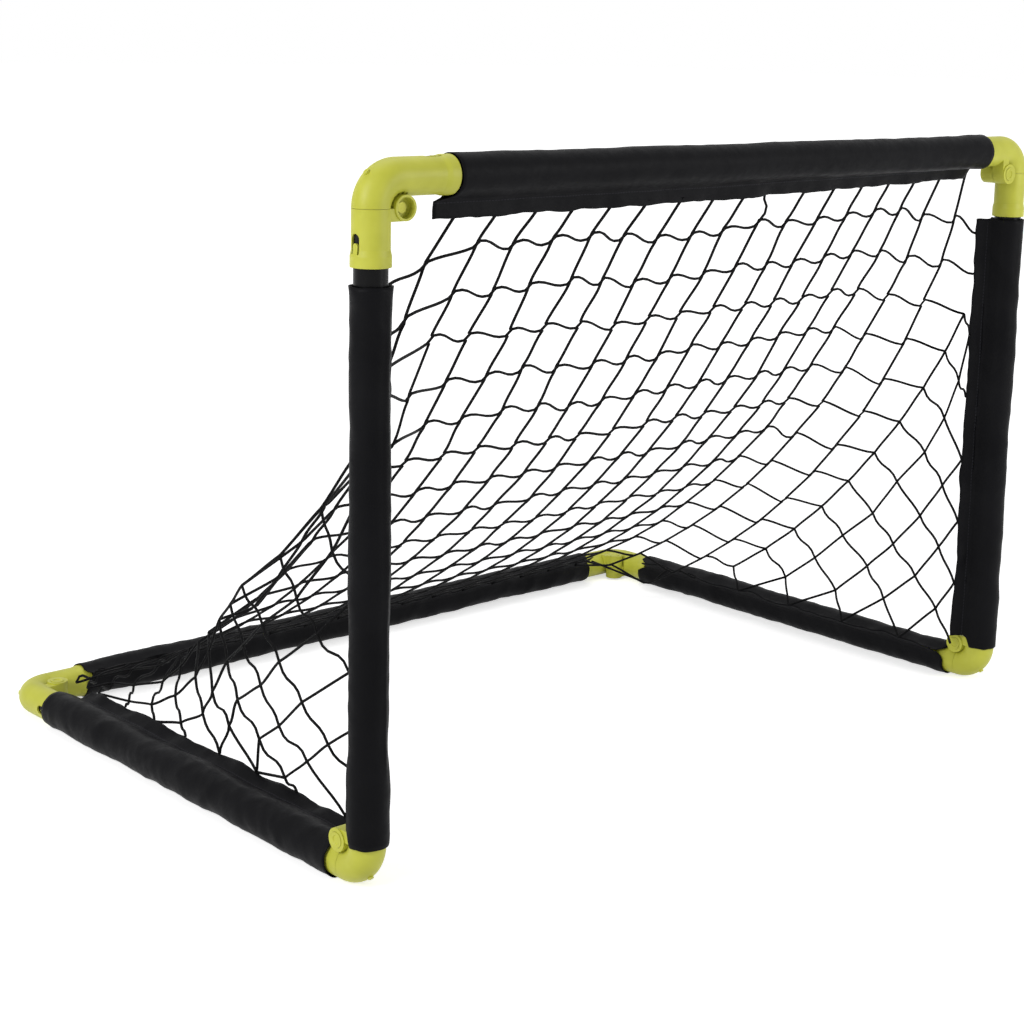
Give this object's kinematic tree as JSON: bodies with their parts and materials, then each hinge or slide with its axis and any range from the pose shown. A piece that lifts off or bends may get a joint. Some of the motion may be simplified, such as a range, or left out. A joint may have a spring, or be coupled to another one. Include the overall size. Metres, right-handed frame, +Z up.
{
  "type": "folding hockey goal",
  "caption": "Folding street and ice hockey goal: two U-shaped tube frames on hinged moulded corners, with fabric sleeves and a knotless net.",
  "frame": {"origin": "on the floor, under the middle of the goal's width and depth", "axes": "+X along the crossbar, -Y out of the goal's mouth, +Z up"},
  "size_m": [0.9158, 0.6258, 0.6203],
  "materials": {
    "lime_plastic": "satin moulded",
    "tube_paint": "gloss powder coat",
    "sleeve_fabric": "plain woven polyester",
    "net_cord": "knotless braided cord",
    "zinc_steel": "zinc plated"
  },
  "bodies": {
    "ground_frame": {"left_rail_tube": "tube_paint", "right_rail_tube": "tube_paint", "rear_rail_tube": "tube_paint", "left_rail_sleeve": "sleeve_fabric", "right_rail_sleeve": "sleeve_fabric", "rear_rail_sleeve": "sleeve_fabric", "front_left_collar": "lime_plastic", "front_left_pin": "zinc_steel", "front_left_spring": "zinc_steel", "front_right_collar": "lime_plastic", "front_right_pin": "zinc_steel", "front_right_spring": "zinc_steel", "rear_left_bend": "lime_plastic", "rear_left_collar": "lime_plastic", "rear_left_pin": "zinc_steel", "rear_left_spring": "zinc_steel", "rear_right_bend": "lime_plastic", "rear_right_collar": "lime_plastic", "rear_right_pin": "zinc_steel", "rear_right_spring": "zinc_steel", "back_net": "net_cord", "left_side_net": "net_cord", "right_side_net": "net_cord"},
    "front_frame": {"crossbar_tube": "tube_paint", "left_post_tube": "tube_paint", "right_post_tube": "tube_paint", "crossbar_sleeve": "sleeve_fabric", "left_post_sleeve": "sleeve_fabric", "right_post_sleeve": "sleeve_fabric", "top_left_bend": "lime_plastic", "top_left_collar": "lime_plastic", "top_left_pin": "zinc_steel", "top_left_spring": "zinc_steel", "top_right_bend": "lime_plastic", "top_right_collar": "lime_plastic", "top_right_pin": "zinc_steel", "top_right_spring": "zinc_steel", "front_left_bend": "lime_plastic", "front_right_bend": "lime_plastic"},
    "top_left_button": {"top_left_button": "lime_plastic"},
    "top_right_button": {"top_right_button": "lime_plastic"},
    "front_left_button": {"front_left_button": "lime_plastic"},
    "front_right_button": {"front_right_button": "lime_plastic"},
    "rear_left_button": {"rear_left_button": "lime_plastic"},
    "rear_right_button": {"rear_right_button": "lime_plastic"}
  },
  "joints": [
    {"name": "front_fold", "type": "hinge", "parent": "ground_frame", "child": "front_frame", "pos_m": [0, -0.271, 0.0414], "axis": [-1, 0, 0], "range_deg": [0, 90], "deforming": ["back_net", "left_side_net", "right_side_net"]},
    {"name": "top_left_press", "type": "slide", "parent": "front_frame", "child": "top_left_button", "axis": [0, -1, 0], "range_m": [0, 0.004], "stiffness_N_per_m": 400, "springref_m": -0.005, "deforming": ["top_left_spring"]},
    {"name": "top_right_press", "type": "slide", "parent": "front_frame", "child": "top_right_button", "axis": [0, 1, 0], "range_m": [0, 0.004], "stiffness_N_per_m": 400, "springref_m": -0.005, "deforming": ["top_right_spring"]},
    {"name": "front_left_press", "type": "slide", "parent": "ground_frame", "child": "front_left_button", "axis": [1, 0, 0], "range_m": [0, 0.004], "stiffness_N_per_m": 400, "springref_m": -0.005, "deforming": ["front_left_spring"]},
    {"name": "front_right_press", "type": "slide", "parent": "ground_frame", "child": "front_right_button", "axis": [1, 0, 0], "range_m": [0, 0.004], "stiffness_N_per_m": 400, "springref_m": -0.005, "deforming": ["front_right_spring"]},
    {"name": "rear_left_press", "type": "slide", "parent": "ground_frame", "child": "rear_left_button", "axis": [0, 0, -1], "range_m": [0, 0.004], "stiffness_N_per_m": 400, "springref_m": -0.005, "deforming": ["rear_left_spring"]},
    {"name": "rear_right_press", "type": "slide", "parent": "ground_frame", "child": "rear_right_button", "axis": [0, 0, -1], "range_m": [0, 0.004], "stiffness_N_per_m": 400, "springref_m": -0.005, "deforming": ["rear_right_spring"]}
  ]
}
